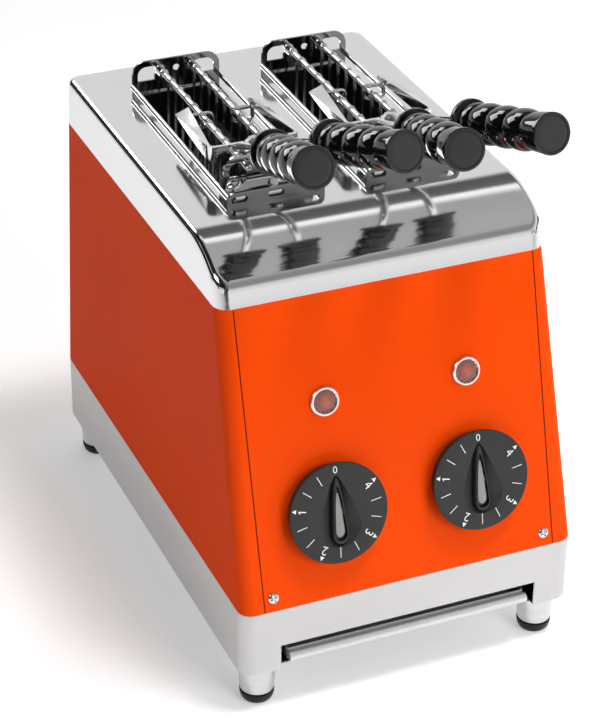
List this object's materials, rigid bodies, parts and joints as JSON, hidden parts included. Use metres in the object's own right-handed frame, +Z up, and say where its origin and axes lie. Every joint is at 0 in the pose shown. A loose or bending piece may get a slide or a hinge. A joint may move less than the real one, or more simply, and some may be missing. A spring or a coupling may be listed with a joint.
{
  "type": "clamp toaster",
  "caption": "Upright toaster with lift-out sandwich tongs, timer knobs, leaning front panel, polished cap and crumb tray.",
  "frame": {"origin": "on the table under the middle of the object's outline", "axes": "+X to the right as seen from the front, +Y to the rear, +Z up"},
  "size_m": [0.213, 0.3349, 0.3622],
  "materials": {
    "base_steel": "satin stoved pale grey",
    "foot_metal": "satin turned",
    "pad_rubber": "matte",
    "casing_paint": "gloss orange enamel",
    "polished_steel": "polished",
    "bright_wire": "drawn wire, plated",
    "inner_steel": "plain sheet",
    "quartz": "clear quartz",
    "ceramic": "fired ceramic",
    "knob_grey": "satin moulded",
    "inlay_grey": "satin",
    "shaft_steel": "turned",
    "timer_case": "moulded",
    "lamp_rim": "plated",
    "lamp_amber": "clear moulded",
    "gland_black": "moulded",
    "grip_black": "polished phenolic",
    "cap_black": "matte",
    "screw_steel": "plated"
  },
  "bodies": {
    "casing": {"base_frame": "base_steel", "foot_posts": "foot_metal", "foot_pads": "pad_rubber", "bottom_plate": "inner_steel", "tray_runners": "inner_steel", "side_panel_left": "casing_paint", "side_panel_right": "casing_paint", "front_panel": "casing_paint", "rear_panel": "casing_paint", "front_screws": "screw_steel", "rear_screws": "screw_steel", "top_cap": "polished_steel", "front_bulkhead": "inner_steel", "rear_bulkhead": "inner_steel", "reflectors": "inner_steel", "quartz_tubes": "quartz", "tube_holders": "ceramic", "cable_gland": "gland_black", "timer_left": "timer_case", "lamp_bezel_left": "lamp_rim", "lamp_lens_left": "lamp_amber", "timer_right": "timer_case", "lamp_bezel_right": "lamp_rim", "lamp_lens_right": "lamp_amber"},
    "tray": {"crumb_tray": "inner_steel"},
    "knob_left": {"knob_left": "knob_grey", "knob_inlay_left": "inlay_grey", "timer_shaft_left": "shaft_steel"},
    "tong_left_cradle": {"tong_left_rear_bracket": "polished_steel", "tong_left_front_bracket": "polished_steel", "tong_left_side_rods": "bright_wire", "tong_left_saddle": "polished_steel", "tong_left_fasteners": "screw_steel"},
    "tong_left_lever_a": {"tong_left_lever_a": "polished_steel", "tong_left_grip_a": "grip_black", "tong_left_cap_a": "cap_black"},
    "tong_left_rack_a": {"tong_left_rack_a": "bright_wire"},
    "tong_left_lever_b": {"tong_left_lever_b": "polished_steel", "tong_left_grip_b": "grip_black", "tong_left_cap_b": "cap_black"},
    "tong_left_rack_b": {"tong_left_rack_b": "bright_wire"},
    "knob_right": {"knob_right": "knob_grey", "knob_inlay_right": "inlay_grey", "timer_shaft_right": "shaft_steel"},
    "tong_right_cradle": {"tong_right_rear_bracket": "polished_steel", "tong_right_front_bracket": "polished_steel", "tong_right_side_rods": "bright_wire", "tong_right_saddle": "polished_steel", "tong_right_fasteners": "screw_steel"},
    "tong_right_lever_a": {"tong_right_lever_a": "polished_steel", "tong_right_grip_a": "grip_black", "tong_right_cap_a": "cap_black"},
    "tong_right_rack_a": {"tong_right_rack_a": "bright_wire"},
    "tong_right_lever_b": {"tong_right_lever_b": "polished_steel", "tong_right_grip_b": "grip_black", "tong_right_cap_b": "cap_black"},
    "tong_right_rack_b": {"tong_right_rack_b": "bright_wire"}
  },
  "joints": [
    {"name": "tray_slide", "type": "slide", "parent": "casing", "child": "tray", "axis": [0, -1, 0], "range_m": [0, 0.24]},
    {"name": "knob_left_turn", "type": "hinge", "parent": "casing", "child": "knob_left", "pos_m": [-0.045, -0.14492, 0.1218], "axis": [0, 0.9643, -0.2647], "range_deg": [0, 304]},
    {"name": "knob_right_turn", "type": "hinge", "parent": "casing", "child": "knob_right", "pos_m": [0.045, -0.14492, 0.1218], "axis": [0, 0.9643, -0.2647], "range_deg": [0, 304]},
    {"name": "tong_left_lift", "type": "slide", "parent": "casing", "child": "tong_left_cradle", "axis": [0, 0, 1], "range_m": [0, 0.15]},
    {"name": "tong_left_squeeze_a", "type": "hinge", "parent": "tong_left_cradle", "child": "tong_left_lever_a", "pos_m": [-0.042, -0.017, 0.2945], "axis": [0, 0, 1], "range_deg": [0, 3], "stiffness_Nm_per_rad": 0.6},
    {"name": "tong_left_squeeze_b", "type": "hinge", "parent": "tong_left_cradle", "child": "tong_left_lever_b", "pos_m": [-0.042, -0.017, 0.2945], "axis": [0, 0, 1], "range_deg": [-3, 0]},
    {"name": "tong_left_jaw_a", "type": "slide", "parent": "tong_left_cradle", "child": "tong_left_rack_a", "axis": [-1, 0, 0], "range_m": [0, 0.0035]},
    {"name": "tong_left_jaw_b", "type": "slide", "parent": "tong_left_cradle", "child": "tong_left_rack_b", "axis": [1, 0, 0], "range_m": [0, 0.0035]},
    {"name": "tong_right_lift", "type": "slide", "parent": "casing", "child": "tong_right_cradle", "axis": [0, 0, 1], "range_m": [0, 0.15]},
    {"name": "tong_right_squeeze_a", "type": "hinge", "parent": "tong_right_cradle", "child": "tong_right_lever_a", "pos_m": [0.044, -0.017, 0.2945], "axis": [0, 0, 1], "range_deg": [0, 3], "stiffness_Nm_per_rad": 0.6},
    {"name": "tong_right_squeeze_b", "type": "hinge", "parent": "tong_right_cradle", "child": "tong_right_lever_b", "pos_m": [0.044, -0.017, 0.2945], "axis": [0, 0, 1], "range_deg": [-3, 0]},
    {"name": "tong_right_jaw_a", "type": "slide", "parent": "tong_right_cradle", "child": "tong_right_rack_a", "axis": [-1, 0, 0], "range_m": [0, 0.0035]},
    {"name": "tong_right_jaw_b", "type": "slide", "parent": "tong_right_cradle", "child": "tong_right_rack_b", "axis": [1, 0, 0], "range_m": [0, 0.0035]}
  ],
  "couplings": [
    {"joint": "tong_left_squeeze_b", "follows": "tong_left_squeeze_a", "ratio": -1},
    {"joint": "tong_left_jaw_a", "follows": "tong_left_squeeze_a", "m_per_rad": 0.061},
    {"joint": "tong_left_jaw_b", "follows": "tong_left_squeeze_a", "m_per_rad": 0.061},
    {"joint": "tong_right_squeeze_b", "follows": "tong_right_squeeze_a", "ratio": -1},
    {"joint": "tong_right_jaw_a", "follows": "tong_right_squeeze_a", "m_per_rad": 0.061},
    {"joint": "tong_right_jaw_b", "follows": "tong_right_squeeze_a", "m_per_rad": 0.061}
  ]
}
